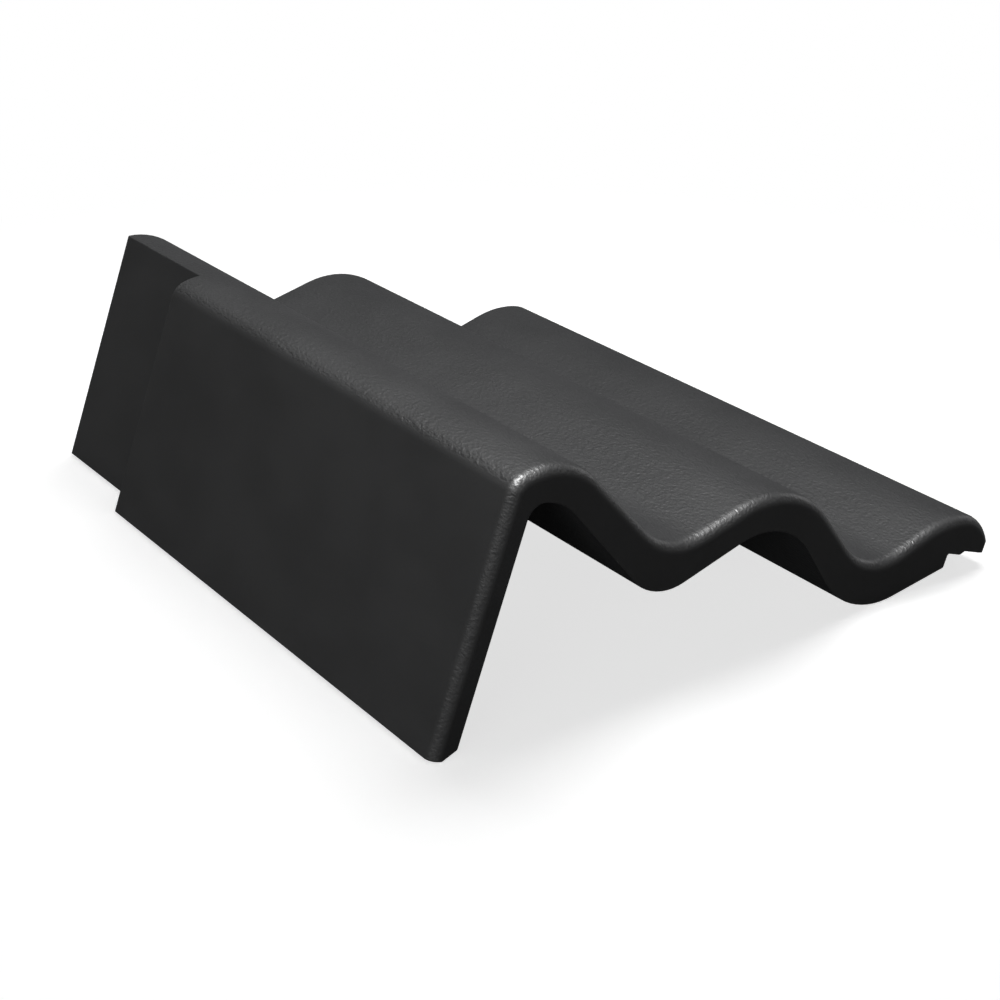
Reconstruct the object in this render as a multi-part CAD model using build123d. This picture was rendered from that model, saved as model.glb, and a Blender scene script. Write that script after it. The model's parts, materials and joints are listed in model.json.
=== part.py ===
import os
from math import atan, atan2, cos, degrees, hypot, pi, sin, sqrt

from build123d import *

os.makedirs("parts", exist_ok=True)

# Left-hand verge tile of cast concrete, one piece, sizes in mm.
# The section is drawn in its own plane: u runs across the tile to the right,
# w stands off the tile, and w = 0 is the crest line of the two regular rolls.
# The length runs along Y, from the front edge at y = 0 to the head.

length = 420.0
pitch = 150.0

# top line: rolls and pans are circles joined by straight flanks
roll_radius = 57.6
last_roll_radius = 62.0
pan_shift = 0.3
pan_depth = 31.3
pan_radius = 36.0
verge_roll_shift = -3.5
verge_roll_lift = 1.0
verge_roll_radius = 42.0
shoulder_radius = 12.0

# underside line, drawn the same way: walls are measured below the top line,
# shifts across from it
verge_wall = 18.8
verge_shift = -3.8
verge_under_radius = 28.5
roll_wall = 20.1
roll_shift = -2.6
roll_under_radius = 41.9
first_pan_wall = 25.5
first_pan_shift = -1.6
first_pan_under_radius = 30.0
second_pan_wall = 24.6
second_pan_shift = 0.5
second_pan_under_radius = 52.0
edge_slope = 0.54

# skirt that hangs over the verge
skirt_reach = 32.8
skirt_wall = 13.6
skirt_drop = 148.0
skirt_foot = 6.6
skirt_foot_rise = 1.1
skirt_chamfer = 7.2
skirt_corner_radius = 9.3

# cover lock under the right edge, measured from the third roll's crest
lock_step_in = 14.5
lock_seat_drop = 22.6
lock_ramp_in = 4.0
lock_ramp_run = 3.2
lock_lip_drop = 20.2
lock_corner = 1.5
edge_reach = 18.5
edge_drop = 12.8
edge_turn_in = 9.0

# rebate at the head, which the next tile's skirt laps over
rebate_length = 91.7
rebate_gap = 0.5
rebate_wall = 12.5
rebate_lift = 5.1
rebate_chamfer = 8.0
rebate_corner_radius = 7.0
rebate_root = 4.0

# rounding of the front edge
nose_radius = 6.2

# hanging nibs under the head
nib_before_pan = 29.3
nib_width = 25.0
nib_thick = 16.0
nib_drop = 7.1
nib_setback = 6.0
nib_draft = 4.0
nib_round = 2.0

near = 0.01


def flank(crest, crest_r, pan, pan_r, side):
    """Ends of the straight flank between a crest circle and a pan circle."""
    du, dw = pan[0] - crest[0], pan[1] - crest[1]
    both = crest_r + pan_r
    turn = atan2(dw, du) + side * atan2(sqrt(hypot(du, dw) ** 2 - both**2), both)
    n = (cos(turn), sin(turn))
    return (
        (crest[0] + crest_r * n[0], crest[1] + crest_r * n[1]),
        (pan[0] - pan_r * n[0], pan[1] - pan_r * n[1]),
    )


def inner_round(big, big_r, r, face_u):
    """Arc of radius r inside a circle, which also touches the upright u = face_u."""
    u = face_u + r
    w = big[1] + sqrt((big_r - r) ** 2 - (u - big[0]) ** 2)
    reach = atan2(w - big[1], u - big[0])
    half = (pi + reach) / 2
    return (
        (face_u, w),
        (u + r * cos(half), w + r * sin(half)),
        (u + r * cos(reach), w + r * sin(reach)),
    )


# top line
crest_1 = (verge_roll_shift, verge_roll_lift)
crest_2 = (pitch, 0)
crest_3 = (2 * pitch, 0)
low_1 = (pitch / 2 + pan_shift, -pan_depth)
low_2 = (low_1[0] + pitch, -pan_depth)
verge_roll = (crest_1[0], crest_1[1] - verge_roll_radius)
roll_2 = (crest_2[0], crest_2[1] - roll_radius)
roll_3 = (crest_3[0], crest_3[1] - last_roll_radius)
pan_1 = (low_1[0], low_1[1] + pan_radius)
pan_2 = (low_2[0], low_2[1] + pan_radius)
t1, p1 = flank(verge_roll, verge_roll_radius, pan_1, pan_radius, 1)
t2, p2 = flank(roll_2, roll_radius, pan_1, pan_radius, -1)
t3, p3 = flank(roll_2, roll_radius, pan_2, pan_radius, 1)
t4, p4 = flank(roll_3, last_roll_radius, pan_2, pan_radius, -1)

outer_u = -skirt_reach
inner_u = outer_u + skirt_wall
foot_u = outer_u + skirt_foot
bottom_w = -skirt_drop
shoulder = inner_round(verge_roll, verge_roll_radius, shoulder_radius, outer_u)


def on_roll_3(u):
    return (u, roll_3[1] + sqrt(last_roll_radius**2 - (u - roll_3[0]) ** 2))


edge_turn = on_roll_3(crest_3[0] - edge_turn_in)
edge_u = crest_3[0] + edge_reach

# underside line
under_1 = (crest_1[0] + verge_shift, crest_1[1] - verge_wall)
under_2 = (crest_2[0] + roll_shift, crest_2[1] - roll_wall)
sole_1 = (low_1[0] + first_pan_shift, low_1[1] - first_pan_wall)
sole_2 = (low_2[0] + second_pan_shift, low_2[1] - second_pan_wall)
hollow_1 = (under_1[0], under_1[1] - verge_under_radius)
hollow_2 = (under_2[0], under_2[1] - roll_under_radius)
belly_1 = (sole_1[0], sole_1[1] + first_pan_under_radius)
belly_2 = (sole_2[0], sole_2[1] + second_pan_under_radius)
corner = inner_round(hollow_1, verge_under_radius, skirt_corner_radius, inner_u)
s1, q1 = flank(hollow_1, verge_under_radius, belly_1, first_pan_under_radius, 1)
s2, q2 = flank(hollow_2, roll_under_radius, belly_1, first_pan_under_radius, -1)
s3, q3 = flank(hollow_2, roll_under_radius, belly_2, second_pan_under_radius, 1)
rise = atan(edge_slope)
q4 = (
    belly_2[0] + second_pan_under_radius * sin(rise),
    belly_2[1] - second_pan_under_radius * cos(rise),
)
step_u = crest_3[0] - lock_step_in
ramp_u = crest_3[0] - lock_ramp_in
lip_u = ramp_u + lock_ramp_run
lock_foot = (step_u, q4[1] + (step_u - q4[0]) * edge_slope)

with BuildSketch() as section:
    with BuildLine() as top_line:
        Line((outer_u, bottom_w), shoulder[0])
        ThreePointArc(*shoulder)
        ThreePointArc(shoulder[2], crest_1, t1)
        Line(t1, p1)
        ThreePointArc(p1, low_1, p2)
        Line(p2, t2)
        ThreePointArc(t2, crest_2, t3)
        Line(t3, p3)
        ThreePointArc(p3, low_2, p4)
        Line(p4, t4)
        ThreePointArc(t4, on_roll_3((t4[0] + edge_turn[0]) / 2), edge_turn)
        TangentArc(
            edge_turn,
            (edge_u, -edge_drop),
            tangent=(edge_turn[1] - roll_3[1], roll_3[0] - edge_turn[0]),
        )
        Line((edge_u, -edge_drop), (edge_u, -lock_lip_drop))
    with BuildLine() as under_line:
        Polyline(
            (edge_u, -lock_lip_drop),
            (lip_u, -lock_lip_drop),
            (ramp_u, -lock_seat_drop),
            (step_u, -lock_seat_drop),
            lock_foot,
            q4,
        )
        ThreePointArc(q4, sole_2, q3)
        Line(q3, s3)
        ThreePointArc(s3, under_2, s2)
        Line(s2, q2)
        ThreePointArc(q2, sole_1, q1)
        Line(q1, s1)
        ThreePointArc(s1, under_1, corner[2])
        ThreePointArc(*reversed(corner))
        Polyline(
            corner[0],
            (inner_u, bottom_w + skirt_chamfer),
            (foot_u, bottom_w + skirt_foot_rise),
            (outer_u, bottom_w),
        )
    make_face(top_line.edges() + under_line.edges())
    fillet(
        section.vertices().filter_by(
            lambda v: min(abs(v.X - u) for u in (step_u, ramp_u, lip_u)) < near
        ),
        lock_corner,
    )

upright = Plane.XZ
bar = extrude(upright * section.sketch_local, amount=-length)

# front edge, rounded over the top line and down the skirt's outer face
top_wire = upright * Wire(top_line.edges())
nose = bar.edges().filter_by(
    lambda e: e.bounding_box().max.Y < near and top_wire.distance_to(e @ 0.5) < near
)
bar = fillet(nose, nose_radius)

# head rebate: the skirt steps inward by one wall and a gap
rebate_y = length - rebate_length
rebate_depth = skirt_wall + rebate_gap
back_u = outer_u + rebate_depth
back_inner_u = back_u + rebate_wall
back_bottom_w = bottom_w + rebate_lift
cut = Pos(outer_u, rebate_y, bottom_w) * Box(
    rebate_depth, rebate_length, crest_1[1] - bottom_w, align=(Align.MIN,) * 3
)
jog_y = rebate_y - rebate_wall
jog_start_y = jog_y - (back_inner_u - inner_u)
plan = Polyline(
    (foot_u, jog_start_y),
    (inner_u, jog_start_y),
    (back_inner_u, jog_y),
    (back_inner_u, length),
    (back_u, length),
    (back_u, rebate_y),
    (foot_u, rebate_y),
    close=True,
)
back_wall = extrude(
    Pos(0, 0, back_bottom_w) * make_face(plan),
    amount=under_1[1] + rebate_root - back_bottom_w,
)
back_foot = back_wall.edges().filter_by(
    lambda e: abs((e @ 0.5).Z - back_bottom_w) < near
    and abs((e @ 0.5).X - back_inner_u) < near
)
back_wall = chamfer(back_foot, rebate_chamfer)
tile = bar - cut + back_wall
inner_corner = tile.edges().filter_by(
    lambda e: abs((e @ 0.5).X - back_inner_u) < near
    and e.length > rebate_length
    and (e @ 0.5).Z > -pan_depth
)
tile = fillet(inner_corner, rebate_corner_radius)

# hanging nibs, one on the flank of each pan, clear of the floor line
nib_tip_w = sole_1[1] - nib_drop
for low in (low_1, low_2):
    root = Pos(
        low[0] - nib_before_pan, length - nib_setback - nib_thick / 2, low[1]
    ) * Rectangle(nib_width, nib_thick)
    nib = extrude(root, amount=low[1] - nib_tip_w, dir=(0, 0, -1), taper=nib_draft)
    tip = nib.edges().filter_by(lambda e: e.bounding_box().max.Z < nib_tip_w + near)
    tile += fillet(tip, nib_round)

# The tile lies as it rests on a level floor: on the skirt's lower edge and on
# the underside of the second pan. The turn is that of the line which touches both.
du = belly_2[0] - foot_u
dw = belly_2[1] - bottom_w - skirt_foot_rise
lean = atan2(dw, du) - atan2(
    second_pan_under_radius, sqrt(du**2 + dw**2 - second_pan_under_radius**2)
)
tile = Rot(0, degrees(lean), 0) * tile
box = tile.bounding_box()
tile = Pos(-box.center().X, -box.center().Y, -box.min.Z) * tile

tile.label = "verge_tile"
export_step(tile, "parts/verge_tile.step")
print("lean", degrees(lean), "moved by", -box.center().X, -box.center().Y, -box.min.Z)
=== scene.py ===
import bpy
import json
from math import radians
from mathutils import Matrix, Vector


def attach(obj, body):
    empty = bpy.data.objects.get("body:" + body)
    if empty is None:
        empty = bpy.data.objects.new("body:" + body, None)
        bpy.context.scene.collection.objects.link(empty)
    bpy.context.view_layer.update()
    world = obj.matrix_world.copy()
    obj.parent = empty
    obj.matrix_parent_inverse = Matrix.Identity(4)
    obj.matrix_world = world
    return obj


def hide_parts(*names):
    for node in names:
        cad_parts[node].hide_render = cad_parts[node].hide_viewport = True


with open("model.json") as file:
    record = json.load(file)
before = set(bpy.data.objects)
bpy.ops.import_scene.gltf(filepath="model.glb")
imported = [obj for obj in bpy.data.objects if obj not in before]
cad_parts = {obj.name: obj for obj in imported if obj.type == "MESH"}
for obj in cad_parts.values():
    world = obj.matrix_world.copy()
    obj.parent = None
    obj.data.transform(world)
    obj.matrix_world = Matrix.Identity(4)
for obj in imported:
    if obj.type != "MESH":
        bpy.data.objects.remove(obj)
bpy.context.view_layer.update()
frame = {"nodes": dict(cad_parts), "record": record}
scene = bpy.context.scene
print("frame loaded, nodes:", sorted(frame["nodes"]))

white = (1.0, 1.0, 1.0, 1.0)


# helpers for shader nodes
def newMaterial(name):
    material = bpy.data.materials.new(name)
    material.use_nodes = True
    material.node_tree.nodes.clear()
    return material, material.node_tree


def addNode(tree, kind, links=None, **settings):
    node = tree.nodes.new(kind)
    for name, value in settings.items():
        setattr(node, name, value)
    for socket, source in (links or {}).items():
        if isinstance(source, bpy.types.NodeSocket):
            tree.links.new(source, node.inputs[socket])
        else:
            node.inputs[socket].default_value = source
    return node


def maths(tree, operation, first, second):
    return addNode(tree, "ShaderNodeMath", {0: first, 1: second}, operation=operation).outputs[0]


def mapRange(tree, value, span, new):
    # value, as it goes through span, eases from the first number of new to the second
    node = addNode(tree, "ShaderNodeMapRange",
                   {"Value": value, "From Min": span[0], "From Max": span[1],
                    "To Min": new[0], "To Max": new[1]}, interpolation_type="SMOOTHSTEP")
    return node.outputs["Result"]


def mixNumbers(tree, share, first, second):
    # a Mix node keeps its numbers in sockets 2 and 3, and their mix in output 0
    return addNode(tree, "ShaderNodeMix", {0: share, 2: first, 3: second}).outputs[0]


def mixColours(tree, share, first, second):
    # and its colours in sockets 6 and 7, and their mix in output 2
    return addNode(tree, "ShaderNodeMix", {0: share, 6: first, 7: second},
                   data_type="RGBA").outputs[2]


def mixShaders(tree, share, first, second):
    return addNode(tree, "ShaderNodeMixShader",
                   {0: share, 1: first.outputs[0], 2: second.outputs[0]})


def noise(tree, place, size, detail, bend=0.0):
    return addNode(tree, "ShaderNodeTexNoise",
                   {"Vector": place, "Scale": size, "Detail": detail,
                    "Distortion": bend}).outputs["Fac"]


# camera: the photograph's viewing angle, the tile lying on its skirt and second pan
cameraSettings = {
    "place": (-0.6335, -0.8640, 0.4995),
    "turn": (68.092, -0.693, -35.141),   # degrees
    "lens": 72.3,
    "sensor": 36.0,
    "shift": (0.0295, -0.0995),          # only what the photograph's framing needs
}


def makeCamera():
    s = cameraSettings
    data = bpy.data.cameras.new("camera")
    camera = bpy.data.objects.new("camera", data)
    scene.collection.objects.link(camera)
    camera.location = s["place"]
    camera.rotation_euler = [radians(a) for a in s["turn"]]
    data.sensor_width = s["sensor"]
    data.lens = s["lens"]
    data.shift_x, data.shift_y = s["shift"]
    scene.camera = camera
    print("camera set")


# soft studio light: each lamp stands off the tile in its own direction,
# and lights its colour, its gloss or both
lampTarget = (0.0, 0.0, 0.05)
lampSettings = {
    "key": {"from": (0.42, 0.18, 0.89), "away": 1.8, "size": 0.8, "power": 16.5,
            "lights": "colour"},
    "sky": {"from": (0.16, 0.12, 0.98), "away": 1.5, "size": 0.9, "power": 4.0,
            "lights": "gloss"},
    "crest": {"from": (-0.30, -0.24, 0.92), "away": 1.5, "size": 0.7, "power": 73.0,
              "lights": "gloss"},
    "left": {"from": (-0.86, -0.47, 0.12), "away": 2.0, "size": 1.0, "power": 5.9,
             "lights": "colour"},
    "right": {"from": (0.96, 0.0, 0.29), "away": 2.0, "size": 0.8, "power": 2.2,
              "lights": "colour and gloss"},
    "back": {"from": (-0.10, 0.97, 0.20), "away": 2.0, "size": 0.8, "power": 8.0,
             "lights": "colour"},
}


def makeLamps():
    for name, s in lampSettings.items():
        data = bpy.data.lights.new(name, "AREA")
        data.shape = "SQUARE"
        data.size = s["size"]
        data.energy = s["power"]
        lamp = bpy.data.objects.new(name, data)
        scene.collection.objects.link(lamp)
        direction = Vector(s["from"]).normalized()
        lamp.location = Vector(lampTarget) + direction * s["away"]
        lamp.rotation_euler = direction.to_track_quat("Z", "Y").to_euler()
        lamp.visible_camera = False
        lamp.visible_diffuse = "colour" in s["lights"]
        lamp.visible_glossy = "gloss" in s["lights"]
    print("lamps set")


# floor and room: plain and white, the floor keeps the tile's shadow
stageSettings = {
    "size": 60.0,
    "floorColour": (0.12, 0.12, 0.12, 1.0),   # what the tile gets back from the floor
    "shadowWhite": 0.72,                      # tone of the floor in full shadow
    "shadowTake": (0.8, 0.8, 0.8, 1.0),       # how much of the lamps' light is added to it
    "fade": (0.36, 0.70),    # metres from the middle, where the floor turns plain white
    "roomLight": 0.004,
    "glossShare": 0.02,      # matt concrete takes little of the white room
}


def seenByCamera(tree):
    path = addNode(tree, "ShaderNodeLightPath").outputs
    gloss = maths(tree, "MULTIPLY", path["Is Glossy Ray"], stageSettings["glossShare"])
    straight = maths(tree, "MAXIMUM", path["Is Camera Ray"], path["Is Transmission Ray"])
    return maths(tree, "MAXIMUM", gloss, straight)


def floorMaterial():
    s = stageSettings
    material, tree = newMaterial("studioFloor")
    plain = addNode(tree, "ShaderNodeBsdfDiffuse", {"Color": s["floorColour"]})
    lit = addNode(tree, "ShaderNodeBsdfDiffuse", {"Color": s["shadowTake"]})
    shaded = addNode(tree, "ShaderNodeEmission", {"Strength": s["shadowWhite"]})
    near = addNode(tree, "ShaderNodeAddShader", {0: lit.outputs[0], 1: shaded.outputs[0]})
    far = addNode(tree, "ShaderNodeEmission", {"Color": white})
    place = addNode(tree, "ShaderNodeTexCoord").outputs["Object"]
    reach = addNode(tree, "ShaderNodeVectorMath", {0: place}, operation="LENGTH")
    fade = mapRange(tree, reach.outputs["Value"], s["fade"], (0.0, 1.0))
    seen = mixShaders(tree, fade, near, far)
    surface = mixShaders(tree, seenByCamera(tree), plain, seen)
    addNode(tree, "ShaderNodeOutputMaterial", {"Surface": surface.outputs[0]})
    return material


def makeFloor():
    bpy.ops.object.select_all(action="DESELECT")
    bpy.ops.mesh.primitive_plane_add(size=stageSettings["size"])
    floor = bpy.context.active_object
    floor.name = "floor"
    floor.data.materials.append(floorMaterial())
    print("floor laid")


def makeRoom():
    world = bpy.data.worlds.new("studio")
    world.use_nodes = True
    tree = world.node_tree
    tree.nodes.clear()
    dim = addNode(tree, "ShaderNodeBackground",
                  {"Color": white, "Strength": stageSettings["roomLight"]})
    bright = addNode(tree, "ShaderNodeBackground", {"Color": white, "Strength": 1.0})
    room = mixShaders(tree, seenByCamera(tree), dim, bright)
    addNode(tree, "ShaderNodeOutputWorld", {"Surface": room.outputs[0]})
    scene.world = world
    print("room set")


# dark pigmented concrete: fine leathery relief on the rounded top, smooth flat sides,
# and a thin smoother coat on the rounding of the front edge
concreteSettings = {
    "paler": 1.09,                # palest patches against the record's colour
    "mottleSize": 30.0,
    "mottleDetail": 3.0,
    "grainSize": 900.0,
    "grainDetail": 1.0,
    "grainShare": 0.25,
    "toneSpan": (0.35, 0.65),     # values of mottle and grain that go from dark to pale
    "roughSpan": (0.3, 0.7),      # values of the mottle that go from smooth to rough
    "roughness": (0.58, 0.62),
    "gloss": 0.5,
    "alongStretch": 0.6,          # below 1, all patterns are longer along the tile
    "wrinkleSize": 360.0,
    "wrinkleDetail": 1.5,
    "wrinkleBend": 1.2,
    "fineSize": 640.0,
    "fineDetail": 1.0,
    "reliefDepth": 0.00038,
    "flatSpan": (0.90, 0.995),    # how squarely a face looks sideways as its relief fades
    "flatRelief": 0.02,
    "noseSpan": (0.10, 0.60),     # how squarely it looks forward, from no coat to a full one
    "noseRelief": 0.6,
    "coatRoughness": 0.38,
}


# along the tile, and across it, which is where the skirt's inner face looks
mounts = {m["name"]: m for m in frame["record"]["mounts"]}
alongTile = Vector((0.0, 1.0, 0.0))
acrossTile = Vector(mounts["skirt_inner_face"]["axis"]).normalized()


def facing(tree, normal, side):
    # how squarely the surface looks to that side, up to 1
    return addNode(tree, "ShaderNodeVectorMath", {0: normal, 1: side},
                   operation="DOT_PRODUCT").outputs["Value"]


def noseShare(tree, normal):
    # 0 on the top and the skirt, 1 where the rounded front edge turns forward
    forward = facing(tree, normal, -alongTile)
    return mapRange(tree, forward, concreteSettings["noseSpan"], (0.0, 1.0))


def roundedShare(tree, normal):
    # 1 where the face is rounded or looks up, small on the flat skirt and the cut ends
    s = concreteSettings
    flat = facing(tree, normal, -acrossTile)
    for side in (acrossTile, alongTile, -alongTile):
        flat = maths(tree, "MAXIMUM", flat, facing(tree, normal, side))
    return mapRange(tree, flat, s["flatSpan"], (1.0, s["flatRelief"]))


def concreteMaterial():
    s = concreteSettings
    base = frame["record"]["materials"][0]["base_color"]
    paleBase = [c * s["paler"] for c in base]
    material, tree = newMaterial("darkConcrete")
    place = addNode(tree, "ShaderNodeTexCoord")
    spot = addNode(tree, "ShaderNodeMapping", {"Vector": place.outputs["Object"],
                                               "Scale": (1.0, s["alongStretch"], 1.0)}).outputs[0]

    mottle = noise(tree, spot, s["mottleSize"], s["mottleDetail"])
    grain = noise(tree, spot, s["grainSize"], s["grainDetail"])
    tone = mixNumbers(tree, s["grainShare"], mottle, grain)
    pale = mapRange(tree, tone, s["toneSpan"], (0.0, 1.0))
    colour = mixColours(tree, pale, (*base, 1.0), (*paleBase, 1.0))
    rough = mapRange(tree, mottle, s["roughSpan"], s["roughness"])

    rounded = roundedShare(tree, place.outputs["Normal"])
    nose = noseShare(tree, place.outputs["Normal"])
    coat = maths(tree, "MULTIPLY", nose, rounded)
    relief = maths(tree, "MULTIPLY", rounded, mixNumbers(tree, nose, 1.0, s["noseRelief"]))

    wrinkle = noise(tree, spot, s["wrinkleSize"], s["wrinkleDetail"], s["wrinkleBend"])
    fine = noise(tree, spot, s["fineSize"], s["fineDetail"])
    bump = addNode(tree, "ShaderNodeBump", {"Height": maths(tree, "ADD", wrinkle, fine),
                                            "Distance": s["reliefDepth"], "Strength": relief})
    bumpy = bump.outputs["Normal"]
    shader = addNode(tree, "ShaderNodeBsdfPrincipled",
                     {"Base Color": colour, "Roughness": rough,
                      "Specular IOR Level": s["gloss"], "Normal": bumpy,
                      "Coat Weight": coat, "Coat Roughness": s["coatRoughness"],
                      "Coat Normal": bumpy})
    addNode(tree, "ShaderNodeOutputMaterial", {"Surface": shader.outputs[0]})
    return material


# the tile as it comes out of the mould, its arrises softened
castSettings = {
    "weld": 0.00001,
    "flatAngle": 0.3,        # degrees, faces that meet flatter than this are one face
    "sharpAngle": 38,        # degrees, edges sharper than this are softened
    "arris": 0.0007,
    "arrisSteps": 2,
    "smoothAngle": 50,
}


def softenArrises(tile):
    s = castSettings
    tile.select_set(True)
    bpy.context.view_layer.objects.active = tile
    bpy.ops.object.mode_set(mode="EDIT")
    bpy.ops.mesh.select_all(action="SELECT")
    bpy.ops.mesh.remove_doubles(threshold=s["weld"])
    bpy.ops.mesh.dissolve_limited(angle_limit=radians(s["flatAngle"]))
    bpy.ops.mesh.select_mode(type="EDGE")
    bpy.ops.mesh.select_all(action="DESELECT")
    bpy.ops.mesh.edges_select_sharp(sharpness=radians(s["sharpAngle"]))
    bpy.ops.mesh.bevel(offset=s["arris"], segments=s["arrisSteps"], clamp_overlap=False,
                       affect="EDGES")
    bpy.ops.mesh.select_mode(type="FACE")
    bpy.ops.object.mode_set(mode="OBJECT")
    print("arrises softened, faces:", len(tile.data.polygons))


def smoothCurves(tile):
    # the rounded faces shade smooth, and the large flat ones stay flat beside them
    bpy.ops.object.shade_smooth_by_angle(angle=radians(castSettings["smoothAngle"]))
    weighted = tile.modifiers.new("normals", "WEIGHTED_NORMAL")
    weighted.keep_sharp = True
    bpy.ops.object.modifier_apply(modifier=weighted.name)


def makeCastTile():
    bpy.ops.object.select_all(action="DESELECT")
    tile = bpy.data.objects.new("cast_verge_tile", frame["nodes"]["verge_tile"].data.copy())
    scene.collection.objects.link(tile)
    softenArrises(tile)
    smoothCurves(tile)
    tile.data.materials.clear()
    tile.data.materials.append(concreteMaterial())
    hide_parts("verge_tile")
    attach(tile, "root")
    print("cast tile made")


makeCamera()
makeLamps()
makeFloor()
makeRoom()
makeCastTile()
scene.view_settings.view_transform = "Standard"
